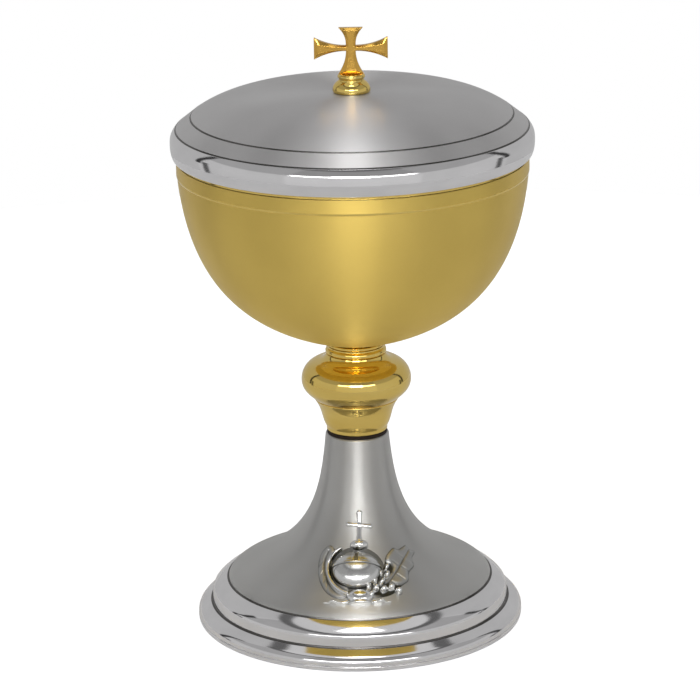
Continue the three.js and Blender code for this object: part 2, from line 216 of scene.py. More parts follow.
def cast_metal(name, light, matte, dark):
    """Cast metal: matte where it is left as cast, shining where buffed, and dark where the relief attribute
    is low: partly oxide in the hollows, partly painted shade.
    """
    shade = Shade(name)
    position = shade.position()
    relief = shade.node("ShaderNodeAttribute", attribute_name="relief").outputs["Fac"]
    buffed = shade.node("ShaderNodeAttribute", attribute_name="buffed").outputs["Fac"]
    grain = shade.noise(position, scale=1400.0, detail=3.0)
    clouds = shade.noise(position, scale=160.0, detail=3.0)
    depth = shade.math("ADD", relief, shade.math("MULTIPLY", shade.math("SUBTRACT", clouds, 0.5), 0.3))
    # dark where the relief is low: partly oxide, partly painted shade in the hollows
    raised = shade.between(depth, 0.0, 1.0, start=0.05, end=0.45)
    return shade.done(
        Base_Color=shade.mix(raised, dark, shade.mix(buffed, matte, light)),
        Metallic=1.0,
        Roughness=shade.between(shade.math("MULTIPLY", raised, buffed), 0.36, 0.1, start=0.0, end=1.0),
        Normal=shade.bump(grain, 0.000008),
    )


def machined_steel(name):
    shade = Shade(name)
    cuts = shade.noise(shade.lathe_marks(1.0, 1.0, swirl=1.0), scale=3200.0, detail=1.0)
    stains = shade.noise(shade.position(), scale=120.0, detail=4.0)
    return shade.done(
        Base_Color=shade.mix(shade.between(stains, 0.0, 1.0), (0.52, 0.51, 0.5, 1), (0.36, 0.35, 0.33, 1)),
        Metallic=1.0,
        Roughness=shade.between(cuts, 0.26, 0.42),
        Normal=shade.bump(cuts, 0.00002),
    )


def black_fibre(name):
    shade = Shade(name)
    strands = shade.noise(shade.lathe_marks(1.0, 1.0, swirl=14.0), scale=2400.0, detail=4.0)
    tone = shade.between(strands, 0.0, 1.0)
    return shade.done(
        Base_Color=shade.mix(tone, (0.008, 0.005, 0.004, 1), (0.03, 0.018, 0.01, 1)),
        Roughness=shade.between(strands, 0.55, 0.8),
        Specular_IOR_Level=0.2,
        Normal=shade.bump(strands, 0.00005),
    )


GILT_SATIN = satin_metal(
    "gilt_satin", (0.92, 0.68, 0.18, 1), (0.82, 0.595, 0.15, 1), rough=0.45, height_share=1.0
)
CROWN_SATIN = satin_metal(
    "silver_satin_crown", (0.71, 0.7, 0.7, 1), (0.63, 0.62, 0.62, 1), rough=0.42, height_share=-0.3
)
FLARE_SATIN = satin_metal(
    "silver_satin_flare", (0.61, 0.605, 0.59, 1), (0.54, 0.535, 0.52, 1), rough=0.42, height_share=-1.0
)
GILT_POLISHED = polished_metal("gilt_polished", (0.9, 0.67, 0.2, 1), (0.84, 0.6, 0.16, 1))
GILT_DEEP = polished_metal("gilt_deep", (0.82, 0.5, 0.11, 1), (0.7, 0.4, 0.08, 1), rough=0.2)
SILVER_POLISHED = polished_metal("silver_polished", (0.86, 0.85, 0.86, 1), (0.78, 0.77, 0.78, 1))
# Near-black polished silver laid in the grooves of the foot and the lid: painted shade, standing in for the
# shadow and dark reflections in them.
SILVER_GROOVE_PAINTED_SHADE = polished_metal("silver_groove_painted_shade", (0.16, 0.155, 0.15, 1), (0.08, 0.075, 0.07, 1), rough=0.25)
# Its dark colour goes in the emblem's hollows and on the orb's shaded places: partly oxide, partly painted
# shade.
EMBLEM_SILVER_WITH_PAINTED_SHADE = cast_metal("silver_cast_with_painted_shade", (0.86, 0.86, 0.85, 1), (0.5, 0.5, 0.49, 1), (0.07, 0.07, 0.06, 1))
STEEL = machined_steel("fastener_steel")
FIBRE = black_fibre("black_fibre")


# ---------------------------------------------------------------- mesh tools


class Outline:
    """A turned piece's outline, drawn stretch by stretch, up on the outside and down on the inside.

    finish is the number of the material that the next stretches take.
    """

    def __init__(self, radius, height, finish=0):
        self.points = [(radius, height)]
        self.finishes = []
        self.finish = finish
        self.closed = False

    def use(self, finish):
        self.finish = finish
        return self

    def line(self, *corners):
        for corner in corners:
            self.points.append(corner)
            self.finishes.append(self.finish)
        return self

    def quad(self, control, end, steps=10):
        start = self.points[-1]
        for step in range(1, steps + 1):
            t = step / steps
            shares = ((1 - t) ** 2, 2 * t * (1 - t), t * t)
            self.line(blend_points((start, control, end), shares))
        return self

    def cubic(self, first, second, end, steps=20):
        start = self.points[-1]
        for step in range(1, steps + 1):
            t = step / steps
            shares = ((1 - t) ** 3, 3 * t * (1 - t) ** 2, 3 * t * t * (1 - t), t ** 3)
            self.line(blend_points((start, first, second, end), shares))
        return self

    def close(self):
        self.finishes.append(self.finish)
        self.closed = True
        return self


def blend_points(points, shares):
    return tuple(sum(point[axis] * share for point, share in zip(points, shares)) for axis in (0, 1))


def rounded(outline, reach, steps=4, sharp=math.radians(22)):
    """The outline's points and finishes, with a small curve in place of each sharp corner."""
    points = [Vector(point) for point in outline.points]
    count = len(points)
    soft = []
    finishes = []
    for index, here in enumerate(points):
        is_end = not outline.closed and index in (0, count - 1)
        leaving = outline.finishes[min(index, len(outline.finishes) - 1)]
        incoming = here - points[index - 1]
        outgoing = points[(index + 1) % count] - here
        if is_end or incoming.angle(outgoing, 0.0) < sharp:
            soft.append(here)
            finishes.append(leaving)
            continue
        size = min(reach, 0.45 * incoming.length, 0.45 * outgoing.length)
        start = here - incoming.normalized() * size
        end = here + outgoing.normalized() * size
        for step in range(steps + 1):
            t = step / steps
            soft.append(start * (1 - t) ** 2 + here * 2 * t * (1 - t) + end * t * t)
            finishes.append(leaving if step == steps else outline.finishes[index - 1])
    return soft, finishes


def make_piece(name, vertices, faces, materials, kinds=None, place=None, sharp=None):
    """A smooth mesh object. vertices are in metres; place is a matrix in metres."""
    mesh = bpy.data.meshes.new(name)
    mesh.from_pydata([tuple(vertex) for vertex in vertices], [], faces)
    if place is not None:
        mesh.transform(place)
    for material in materials:
        mesh.materials.append(material)
    if kinds is not None:
        mesh.polygons.foreach_set("material_index", kinds)
    mesh.polygons.foreach_set("use_smooth", [True] * len(faces))
    if sharp is not None:
        mesh.set_sharp_from_angle(angle=sharp)
    mesh.update()
    piece = bpy.data.objects.new(name, mesh)
    bpy.context.collection.objects.link(piece)
    normals = piece.modifiers.new("even_normals", "WEIGHTED_NORMAL")
    normals.keep_sharp = sharp is not None
    return piece


def turned(name, outline, *materials, sides=WIDE_SIDES, corner=0.15, place=None):
    """A piece turned about Z from its outline."""
    points, finishes = rounded(outline, corner)
    vertices = []
    rings = []
    for radius, height in points:
        count = sides if radius > 1e-6 else 1
        rings.append([len(vertices) + side for side in range(count)])
        for side in range(count):
            angle = 2 * math.pi * side / sides
            vertices.append(Vector((radius * math.cos(angle), radius * math.sin(angle), height)) * MM)
    faces = []
    kinds = []
    stretches = len(points) if outline.closed else len(points) - 1
    for index in range(stretches):
        low = rings[index]
        high = rings[(index + 1) % len(rings)]
        for side in range(sides):
            corners = (
                low[side % len(low)],
                low[(side + 1) % len(low)],
                high[(side + 1) % len(high)],
                high[side % len(high)],
            )
            face = list(dict.fromkeys(corners))
            faces.append(face)
            kinds.append(finishes[index])
    return make_piece(name, vertices, faces, materials, kinds, place)


def boxed(*corners):
    """A closed outline through plain corners."""
    outline = Outline(*corners[0])
    return outline.line(*corners[1:]).close()


def washer(bore, radius, bottom, top):
    return boxed((bore, bottom), (radius, bottom), (radius, top), (bore, top))


def threaded_rod(name, radius, bottom, top, pitch, place=None):
    """A steel rod on Z with a real helical thread and chamfered ends."""
    sides = 40
    depth = 0.3 * pitch
    rows = round(4 * (top - bottom) / pitch)
    vertices = []
    for row in range(rows + 1):
        height = bottom + (top - bottom) * row / rows
        ends = radius - 0.5 + min(height - bottom, top - height)
        for side in range(sides):
            turn = side / sides
            phase = ((height - bottom) / pitch - turn) % 1.0
            crest = radius - depth * (1 - abs(2 * phase - 1))
            reach = min(crest, ends)
            angle = 2 * math.pi * turn
            vertices.append(Vector((reach * math.cos(angle), reach * math.sin(angle), height)) * MM)
    faces = []
    for row in range(rows):
        for side in range(sides):
            after = (side + 1) % sides
            low = row * sides
            faces.append((low + side, low + after, low + sides + after, low + sides + side))
    faces.append([side for side in reversed(range(sides))])
    faces.append([rows * sides + side for side in range(sides)])
    return make_piece(name, vertices, faces, [STEEL], place=place, sharp=math.radians(50))


def hex_nut(name, flats, bore, bottom, height, place=None):
    """A hexagonal steel nut with turned chamfers on both faces."""
    sides = 72
    apothem = flats / 2
    corner = flats / math.sqrt(3)
    chamfer = 0.09 * flats
    top = bottom + height
    rings = (
        (bore, bottom + 0.4, False),
        (bore + 0.4, bottom, False),
        (apothem * 0.98, bottom, True),
        (corner, bottom + chamfer, True),
        (corner, top - chamfer, True),
        (apothem * 0.98, top, True),
        (bore + 0.4, top, False),
        (bore, top - 0.4, False),
    )
    vertices = []
    for limit, level, outside in rings:
        for side in range(sides):
            angle = 2 * math.pi * side / sides
            flat = apothem / math.cos((angle % (math.pi / 3)) - math.pi / 6)
            reach = min(flat, limit) if outside else limit
            vertices.append(Vector((reach * math.cos(angle), reach * math.sin(angle), level)) * MM)
    faces = []
    for ring in range(len(rings)):
        low = ring * sides
        high = ((ring + 1) % len(rings)) * sides
        for side in range(sides):
            after = (side + 1) % sides
            faces.append((low + side, low + after, high + after, high + side))
    return make_piece(name, vertices, faces, [STEEL], place=place, sharp=math.radians(25))


def closed_sheet(faces, count):
    """The faces of a sheet, of a second one count vertices later, and of the rim between them."""
    uses = {(face[k - 1], face[k]) for face in faces for k in range(len(face))}
    rim = [edge for edge in sorted(uses) if (edge[1], edge[0]) not in uses]
    back = [[corner + count for corner in reversed(face)] for face in faces]
    return faces + back + [[end, start, start + count, end + count] for start, end in rim]


def stands_for(piece, node, body):
    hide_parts(node)
    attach(piece, body)


# ---------------------------------------------------------------- foot

FLARE = ((43.5, 19.4), (17.8, 30.1), (13.8, 46.4), (11.6, FOOT_TOP - 0.4))
FLARE_STEPS = 48


def flare_place(t):
    """The (radius, height) of the flare curve at t, and its unit direction there."""
    start, first, second, end = (Vector(point) for point in FLARE)
    point = start * (1 - t) ** 3 + first * 3 * t * (1 - t) ** 2 + second * 3 * t * t * (1 - t) + end * t ** 3
    slope = (first - start) * (1 - t) ** 2 + (second - first) * 2 * t * (1 - t) + (end - second) * t * t
    return point, slope.normalized()


def flare_offset(distance):
    points = []
    for step in range(FLARE_STEPS + 1):
        point, slope = flare_place(step / FLARE_STEPS)
        points.append((point.x + slope.y * distance, point.y - slope.x * distance))
    return points


def foot_shell():
    # The shadowed finish is near-black polished silver: painted shade in the grooves.
    satin, polished, shadowed = 0, 1, 2
    outline = Outline(FOOT_RADIUS - 2.4, 0, polished)
    outline.line((FOOT_RADIUS - 0.6, 0))
    outline.cubic((FOOT_RADIUS - 0.25, 0.3), (FOOT_RADIUS - 0.05, 0.9), (FOOT_RADIUS - 0.1, 1.7), 6)
    outline.line((FOOT_RADIUS - 0.35, 1.95), (FOOT_RADIUS - 0.15, 2.2))
    outline.cubic((60, 2.9), (59.7, 3.9), (59.1, 4.6), 8)
    outline.quad((58.6, 5.3), (57.6, 5.75), 6)
    outline.line((55.35, 6.95))
    outline.use(shadowed).line((55.1, 6.75), (54.8, 6.8), (54.5, 7.4))
    outline.use(polished).cubic((54.55, 9.6), (54.4, 11.1), (53.9, 11.7), 10)
    outline.quad((52.2, 13.7), (49.1, 15.35), 14)
    outline.use(shadowed).line((48.95, 15.15), (48.6, 15.2), (48.35, 15.8))
    outline.use(satin).quad((47.8, 17.5), FLARE[0], 10)
    outline.line(*flare_offset(0)[1:])
    outline.line((11.2, FOOT_TOP), (BORE_RADIUS, FOOT_TOP))
    outline.line((BORE_RADIUS, FOOT_TOP - WALL), (10.3, FOOT_TOP - WALL))
    outline.line(*flare_offset(-WALL)[-2::-1])
    outline.line((47.5, 14.2))
    outline.quad((51.7, 12.2), (53.4, 7), 8)
    outline.line((54.8, 5.6))
    outline.quad((57.8, 4.2), (57.6, 0.3), 8)
    return turned("foot_shell_fine", outline.close(), FLARE_SATIN, SILVER_POLISHED, SILVER_GROOVE_PAINTED_SHADE)


# The relief is drawn on a plane that leans back, and carried onto the foot square to that plane.
LEAN = math.radians(21.5)
RELIEF_ORIGIN = (0.0, -29.0, 27.6)
RELIEF_FLOOR = -0.25  # how far under the foot's surface the relief ends
RELIEF_THICKNESS = 0.3  # from there down to its back
RELIEF_ACROSS = (-17.0, 22.0)
RELIEF_UP = (-15.5, 22.8)
RELIEF_STEP = 0.17
NO_RELIEF = RELIEF_FLOOR * 2
POST_SEATS = {"upper": 1, "lower": -9}
ORB_PLACE = (-1.1, -1.0)
ORB_SHAPE = (1.08, 0.95, 0.62)  # across, up and out
ORB_RADIUS = 8.3
ORB_HEIGHT = 0.3
ORB_BACK = -1.0  # the ball is cut off inside the foot's wall


def on_foot(across, up):
    """The points on the foot, and the normals there, for places of the drawing given as arrays."""
    curve = [flare_place(step / 400)[0] for step in range(401)]
    heights = np.array([point.y for point in curve])
    radii = np.array([point.x for point in curve])
    y_start = RELIEF_ORIGIN[1] + up * math.sin(LEAN)
    z_start = RELIEF_ORIGIN[2] + up * math.cos(LEAN)
    inside = np.full_like(across, -15.0)
    outside = np.full_like(across, 15.0)
    for _ in range(40):
        middle = (inside + outside) / 2
        z = z_start + middle * math.sin(LEAN)
        y = y_start - middle * math.cos(LEAN)
        is_out = np.hypot(across, y) > np.interp(z, heights, radii)
        outside = np.where(is_out, middle, outside)
        inside = np.where(is_out, inside, middle)
    z = z_start + inside * math.sin(LEAN)
    y = y_start - inside * math.cos(LEAN)
    radius = np.interp(z, heights, radii)
    slope = np.interp(z, heights, np.gradient(radii, heights))
    normals = np.stack([across / radius, y / radius, -slope], axis=-1)
    normals /= np.linalg.norm(normals, axis=-1, keepdims=True)
    return np.stack([across, y, z], axis=-1), normals


def smooth_path(corners, closed, steps=8):
    """A Catmull-Rom curve through the corners, as an array of points."""
    corners = [np.array(corner, dtype=float) for corner in corners]
    count = len(corners)
    points = []
    for index in range(count if closed else count - 1):
        if closed:
            a, b, c, d = (corners[(index + shift) % count] for shift in (-1, 0, 1, 2))
        else:
            a = corners[max(index - 1, 0)]
            b = corners[index]
            c = corners[index + 1]
            d = corners[min(index + 2, count - 1)]
        for step in range(steps):
            t = step / steps
            bend = (2 * a - 5 * b + 4 * c - d) * t * t + (3 * b - a - 3 * c + d) * t ** 3
            points.append(0.5 * (2 * b + (c - a) * t + bend))
    if not closed:
        points.append(corners[-1])
    return np.array(points)


def path_distance(across, up, path):
    """Each place's distance from a path, and how far along the path its nearest point is, 0 to 1."""
    best = np.full_like(across, 1e9)
    place = np.zeros_like(across)
    stretches = len(path) - 1
    for index in range(stretches):
        start = path[index]
        step = path[index + 1] - start
        share = ((across - start[0]) * step[0] + (up - start[1]) * step[1]) / max(step @ step, 1e-9)
        share = np.clip(share, 0, 1)
        distance = np.hypot(across - start[0] - share * step[0], up - start[1] - share * step[1])
        closer = distance < best
        best = np.where(closer, distance, best)
        place = np.where(closer, (index + share) / stretches, place)
    return best, place


def depth_inside(across, up, corners):
    """How far each place is inside a smooth closed outline; negative outside it."""
    path = smooth_path(corners, True)
    ring = np.vstack([path, path[:1]])
    distance, _ = path_distance(across, up, ring)
    inside = np.zeros(across.shape, dtype=bool)
    for start, end in zip(ring[:-1], ring[1:]):
        crosses = (start[1] > up) != (end[1] > up)
        rise = end[1] - start[1]
        reach = start[0] + (up - start[1]) * (end[0] - start[0]) / (rise if rise else 1e-9)
        inside ^= crosses & (across < reach)
    return np.where(inside, distance, -distance)


def cushion(depth, height, edge):
    """A flat top with a rounded edge."""
    share = np.clip(depth / edge, 0, 1)
    return np.where(depth > 0, height * np.sqrt(1 - (1 - share) ** 2), NO_RELIEF + depth)


def tube(across, up, corners, width, height, taper=0.0):
    """A rounded ridge along a smooth path, thinner at its ends by taper."""
    distance, place = path_distance(across, up, smooth_path(corners, False))
    width = width * (1 - taper * np.abs(2 * place - 1) ** 2)
    share = np.minimum(distance / width, 1)
    return np.where(share < 1, height * np.sqrt(1 - share ** 3.5), NO_RELIEF)


def mound(across, up, centre, size, height, turn=0.0):
    """A rounded boss, size across and up, turned anticlockwise."""
    x = across - centre[0]
    y = up - centre[1]
    along = (x * math.cos(turn) + y * math.sin(turn)) / size[0]
    aside = (y * math.cos(turn) - x * math.sin(turn)) / size[1]
    share = np.hypot(along, aside)
    return np.where(share < 1, height * np.sqrt(1 - np.minimum(share, 1) ** 2), NO_RELIEF)


def soft_max(first, second, soft=0.18):
    """The higher of two reliefs, with a small fillet where they meet."""
    overlap = np.maximum(soft - np.abs(first - second), 0) / soft
    return np.maximum(first, second) + overlap ** 2 * soft / 4


def groove(distance, width, depth):
    return depth * np.exp(-((distance / width) ** 2))


def leaf(across, up, outline, midrib, veins, height):
    """A leaf with a cut midrib and side veins, hollowed a little towards the middle."""
    depth = depth_inside(across, up, outline)
    body = cushion(depth, height, 2.0)
    body = np.where(depth > 0, body - 0.15 * np.clip((depth - 1.2) / 2.2, 0, 1), body)
    distance, _ = path_distance(across, up, smooth_path(midrib, False))
    cuts = groove(distance, 0.35, 0.35)
    for vein in veins:
        distance, _ = path_distance(across, up, np.array(vein, dtype=float))
        cuts = np.maximum(cuts, groove(distance, 0.3, 0.18))
    return body - np.where(depth > 0.3, cuts, 0)


LEFT_LEAF = (
    (-10.6, 8.8), (-13.6, 6.2), (-15.0, 1.6), (-14.7, -3.6), (-12.6, -8.0),
    (-8.6, -10.6), (-4.0, -9.6), (-4.6, -5.0), (-7.0, 0.0), (-8.2, 6.0),
)
RIGHT_LEAF = (
    (9.6, 4.4), (12.2, 7.4), (14.2, 6.9), (16.8, 8.4), (18.2, 7.0), (20.2, 5.9), (19.2, 3.6), (19.8, 0.8),
    (18.0, -1.6), (17.6, -4.6), (15.4, -6.4), (11.6, -9.6), (6.0, -10.8), (2.0, -10.4), (3.4, -6.4),
    (6.4, -2.0), (8.8, 1.2),
)


def left_leaf(across, up):
    midrib = [(-10.9, 6.8), (-12.5, 2.6), (-12.2, -2.8), (-9.6, -7.4), (-6.2, -9.4)]
    veins = [((-12.4 + 0.3 * k, 3.2 - 2.6 * k), (-14.6 + 0.9 * k, 0.8 - 2.9 * k)) for k in range(4)]
    return leaf(across, up, LEFT_LEAF, midrib, veins, 0.65)


def right_leaf(across, up):
    midrib = [(17.6, 6.2), (15.6, 2.6), (13.4, -1.2), (10.6, -5.0), (7.4, -8.6)]
    veins = [
        ((16.4 - 1.7 * k, 3.6 - 2.8 * k), (19.2 - 1.5 * k, 1.6 - 3.0 * k)) for k in range(4)
    ] + [((16.0 - 1.7 * k, 3.4 - 2.8 * k), (13.2 - 1.5 * k, 5.6 - 3.0 * k)) for k in range(3)]
    return leaf(across, up, RIGHT_LEAF, midrib, veins, 0.75)


def wheat_ear(across, up):
    """Plump grains in loose rows, climbing from the knot to the upper right."""
    grains = (
        (9.7, 0.2, 60), (7.3, -2.3, 50), (9.9, -2.6, 62), (5.4, -4.8, 48), (8.1, -5.2, 44), (3.2, -7.0, 55),
        (5.9, -7.5, 35), (8.7, -8.0, 12), (11.4, -7.3, 8), (14.0, -8.7, -12), (4.3, -9.8, 40),
    )
    relief = np.full_like(across, NO_RELIEF)
    for x, y, lean in grains:
        grain = mound(across, up, (x, y), (1.4, 0.98), 2.3, math.radians(lean))
        relief = soft_max(relief, grain, 0.05)
    return relief


def ribbon_knot(across, up):
    """A plump band round the stalks and a short curled tail on each side."""
    relief = mound(across, up, (0, -10.3), (4.9, 2.3), 2.7)
    relief = soft_max(relief, mound(across, up, (0.1, -12.7), (4.4, 1.0), 1.7), 0.05)
    for side, reach in ((-1, 12.8), (1, 10.8)):
        tail = [(side * 4.6, -12.2), (side * (reach - 3.6), -13.1), (side * reach, -12.9)]
        relief = soft_max(relief, tube(across, up, tail, 0.7, 1.1, 0.2))
        relief = soft_max(relief, mound(across, up, (side * (reach - 3.2), -12.7), (1.8, 1.05), 1.9))
    return relief


def small_cross(across, up):
    """The cross on its own little mount, with ends that widen a little."""
    relief = mound(across, up, (0, 8.6), (3.4, 2.0), 2.6)
    relief = soft_max(relief, tube(across, up, [(0, 10.0), (0.2, 15.6), (0.3, 20.4)], 0.85, 1.1, -0.3))
    return soft_max(relief, tube(across, up, [(-3.6, 16.3), (0.2, 15.9), (4.0, 15.5)], 0.75, 1.1, -0.3))


def relief_height(across, up):
    """The height of the cast emblem over the foot's surface, and how far each place is buffed."""
    leaves = soft_max(left_leaf(across, up), right_leaf(across, up))
    around_orb = np.hypot((across - ORB_PLACE[0]) / ORB_SHAPE[0], (up - ORB_PLACE[1]) / ORB_SHAPE[1])
    ear, _ = path_distance(across, up, np.array([(9.8, 0), (4.2, -7.4), (8.7, -7.9), (13.8, -8.4)]))
    bed = 1.1 * np.exp(-(((around_orb - ORB_RADIUS - 0.6) / 0.8) ** 2)) + np.exp(-((ear / 2.3) ** 4))
    low = np.where(leaves > 0, np.maximum(leaves - bed, 0.02), leaves)
    reach = ORB_RADIUS + 1.2
    low = np.maximum(low, cushion(reach - around_orb, 0.2, 0.3))
    crescent = []
    for degrees in range(122, 266, 16):
        turn = math.radians(degrees)
        crescent.append((ORB_PLACE[0] + 1.06 * reach * math.cos(turn), ORB_PLACE[1] + reach * math.sin(turn)))
    high = tube(across, up, crescent, 0.85, 2.3, 0.35)
    for motif in (wheat_ear, ribbon_knot, small_cross):
        high = soft_max(high, motif(across, up))
    buffed = np.clip((high - low) / 0.3 + 0.5, 0, 1)
    return np.maximum(soft_max(low, high, 0.1), NO_RELIEF), buffed


def orb_mesh():
    """A ball with a strap round its middle and another up over its top, and the painted lightness of each
    place.

    Levels and reaches are in radii. The ball darkens towards its rim, where it meets the foot: partly oxide,
    partly painted shade. A painted shadow line runs just under the girdle, and a painted dark strip runs down
    the middle of the top strap.
    """
    rows, columns = 96, 96
    strap_height = 0.22
    girdle_level, girdle_reach = 0.17, 0.06
    crown_reach, crown_shade_reach = 0.15, 0.1
    shadow_level, shadow_reach = 0.08, 0.045
    centre, out = on_foot(np.array([ORB_PLACE[0]]), np.array([ORB_PLACE[1]]))
    out = Vector(out[0])
    right = Vector((0, 0, 1)).cross(out).normalized()
    rise = out.cross(right)
    middle = Vector(centre[0]) + out * ORB_HEIGHT
    vertices = []
    painted_lights = []
    for row in range(rows + 1):
        latitude = math.pi * row / rows - math.pi / 2
        for column in range(columns if 0 < row < rows else 1):
            longitude = 2 * math.pi * column / columns
            ring = math.cos(latitude)
            x, y, z = ring * math.cos(longitude), math.sin(latitude), ring * math.sin(longitude)
            girdle = abs(y - girdle_level) < girdle_reach
            crown = abs(x) < crown_reach and y > girdle_level
            size = ORB_RADIUS + (strap_height if girdle or crown else 0)
            # darker towards the ball's rim, where it sinks into the foot: partly oxide, partly painted shade
            painted_light = min(max(z - 0.12, 0) * 1.6, 1)
            # a painted shadow line just under the girdle
            painted_light *= 1 - 0.95 * math.exp(-(((y - shadow_level) / shadow_reach) ** 2))
            # a painted dark strip down the middle of the top strap: painted shade
            painted_lights.append(painted_light * (0.12 if crown and abs(x) < crown_shade_reach else 1))
            x, y, z = (size * value * share for value, share in zip((x, y, z), ORB_SHAPE))
            vertices.append((middle + right * x + rise * y + out * max(z, ORB_BACK)) * MM)
    faces = []
    top = len(vertices) - 1
    for column in range(columns):
        after = (column + 1) % columns
        faces.append((0, 1 + column, 1 + after))
        faces.append((top, top - columns + after, top - columns + column))
    for row in range(rows - 2):
        for column in range(columns):
            after = (column + 1) % columns
            low = 1 + row * columns
            high = low + columns
            faces.append((low + column, high + column, high + after, low + after))
    return vertices, faces, painted_lights


def emblem():
    across, up = np.meshgrid(np.arange(*RELIEF_ACROSS, RELIEF_STEP), np.arange(*RELIEF_UP, RELIEF_STEP))
    height, buffed = relief_height(across, up)
    base, normals = on_foot(across, up)
    front = (base + normals * np.maximum(height, RELIEF_FLOOR)[..., None]) * MM
    back = (base + normals * (RELIEF_FLOOR - RELIEF_THICKNESS)) * MM
    shown = height > RELIEF_FLOOR
    keep = shown[:-1, :-1] | shown[1:, :-1] | shown[:-1, 1:] | shown[1:, 1:]
    width = across.shape[1]
    row, column = np.nonzero(keep)
    low = row * width + column
    corners = np.stack([low, low + 1, low + width + 1, low + width], axis=-1)
    used, numbered = np.unique(corners, return_inverse=True)
    sheet = numbered.reshape(corners.shape).tolist()
    faces = closed_sheet(sheet, len(used))
    vertices = [Vector(place) for side in (front, back) for place in side.reshape(-1, 3)[used]]
    orb_vertices, orb_faces, painted_lights = orb_mesh()
    faces += [[corner + len(vertices) for corner in face] for face in orb_faces]
    piece = make_piece("emblem_fine", vertices + orb_vertices, faces, [EMBLEM_SILVER_WITH_PAINTED_SHADE])
    # On the orb the relief attribute carries its painted shade, not its height.
    levels = (
        ("relief", np.clip(height / 1.2, 0, 1), np.array(painted_lights)),
        ("buffed", buffed, np.full(len(painted_lights), 0.6)),
    )
    for name, level, on_orb in levels:
        share = piece.data.attributes.new(name, "FLOAT", "POINT")
        on_sheet = level.ravel()[used]
        values = np.concatenate([on_sheet, np.zeros(len(used)), on_orb])
        share.data.foreach_set("value", values)
    return piece


def foot_seat(up):
    """The matrix that stands a piece with +Z up off the foot on the emblem's centre line."""
    low, high = 0.0, 1.0
    point, _ = on_foot(np.array([0.0]), np.array([float(up)]))
    for _ in range(40):
        middle = (low + high) / 2
        if flare_place(middle)[0].y > point[0][2]:
            high = middle
        else:
            low = middle
    seat, slope = flare_place(low)
    tilt = math.atan2(slope.y, -slope.x)
    return Matrix.Translation((0, -seat.x * MM, seat.y * MM)) @ Matrix.Rotation(tilt, 4, "X")


# ---------------------------------------------------------------- stem


def knop_ferrule():
    outline = Outline(9.4, STEM_WASHER_TOP + FACE_GAP)
    outline.line((10.9, STEM_WASHER_TOP + FACE_GAP), (11.15, 72.3), (11.15, 73.4))
    outline.cubic((13.1, 76.4), (12.4, 79.5), (15.4, FERRULE_TOP - 0.3), 24)
    outline.line((15.2, FERRULE_TOP), (13.8, FERRULE_TOP), (13.8, FERRULE_TOP + 1.9))
    outline.line((12.4, FERRULE_TOP + 1.9), (12.4, FERRULE_TOP), (BORE_RADIUS, FERRULE_TOP))
    outline.line((BORE_RADIUS, FERRULE_TOP - 1.7), (12.4, FERRULE_TOP - 1.7), (10.9, 78), (9.9, 74))
    return outline.close()


def knop():
    bottom = FERRULE_TOP + FACE_GAP
    outline = Outline(14.1, bottom)
    outline.line((15.5, bottom))
    outline.cubic((17.6, 86.2), (KNOP_RADIUS, 87.6), (KNOP_RADIUS, 91), 24)
    outline.cubic((KNOP_RADIUS, 95.2), (17.2, 97.6), (14.2, 98.2), 32)
    outline.quad((11.6, 98.7), (10.9, KNOP_TOP), 10)
    outline.line((SOCKET_RADIUS + LOOSE_GAP, KNOP_TOP), (SOCKET_RADIUS + LOOSE_GAP, KNOP_TOP - 1.6))
    outline.line((9.6, KNOP_TOP - 1.6))
    outline.cubic((11.4, 96.4), (18.4, 96.2), (18.4, 91), 12)
    outline.quad((18.4, 87.6), (14.1, 85.6), 8)
    return outline.close()


def collar_lower():
    inner = SOCKET_RADIUS + LOOSE_GAP
    outline = Outline(inner, KNOP_TOP + FACE_GAP)
    outline.line((10.7, KNOP_TOP + FACE_GAP))
    outline.cubic((11.3, 101.3), (11.3, 102.7), (10.5, 103.1), 10)
    outline.line((10.2, 103.3), (10.2, 103.8), (inner, 103.8))
    return outline.close()


def collar_upper():
    inner = SOCKET_RADIUS + LOOSE_GAP
    outline = Outline(inner, 103.9)
    outline.line((9.9, 103.9))
    outline.cubic((10.55, 104.0), (10.55, 105.1), (9.9, BOWL_BOTTOM - 0.05), 8)
    outline.line((inner, 105.1))
    return outline.close()


def cup_socket():
    top = BOWL_BOTTOM - FACE_GAP
    outline = Outline(0, 103.6)
    outline.line((3.1, 103.6), (3.1, 96), (SOCKET_RADIUS, 96), (SOCKET_RADIUS, top), (0, top))
    return outline


def lock_washer():
    """A split spring washer, swept round from one side of its gap to the other."""
    half_gap = 0.12
    steps = 72
    section = ((BORE_RADIUS, 66.25), (5.4, 66.25), (5.4, 67.75), (BORE_RADIUS, 67.75))
    vertices = []
    for step in range(steps + 1):
        angle = half_gap + (2 * math.pi - 2 * half_gap) * step / steps
        for radius, height in section:
            vertices.append(Vector((radius * math.cos(angle), radius * math.sin(angle), height)) * MM)
    faces = [(3, 2, 1, 0)]
    for step in range(steps):
        low = 4 * step
        for side in range(4):
            after = (side + 1) % 4
            faces.append((low + side, low + after, low + 4 + after, low + 4 + side))
    end = 4 * steps
    faces.append((end, end + 1, end + 2, end + 3))
    return make_piece("lock_washer_fine", vertices, faces, [STEEL], sharp=math.radians(40))


# ---------------------------------------------------------------- cup


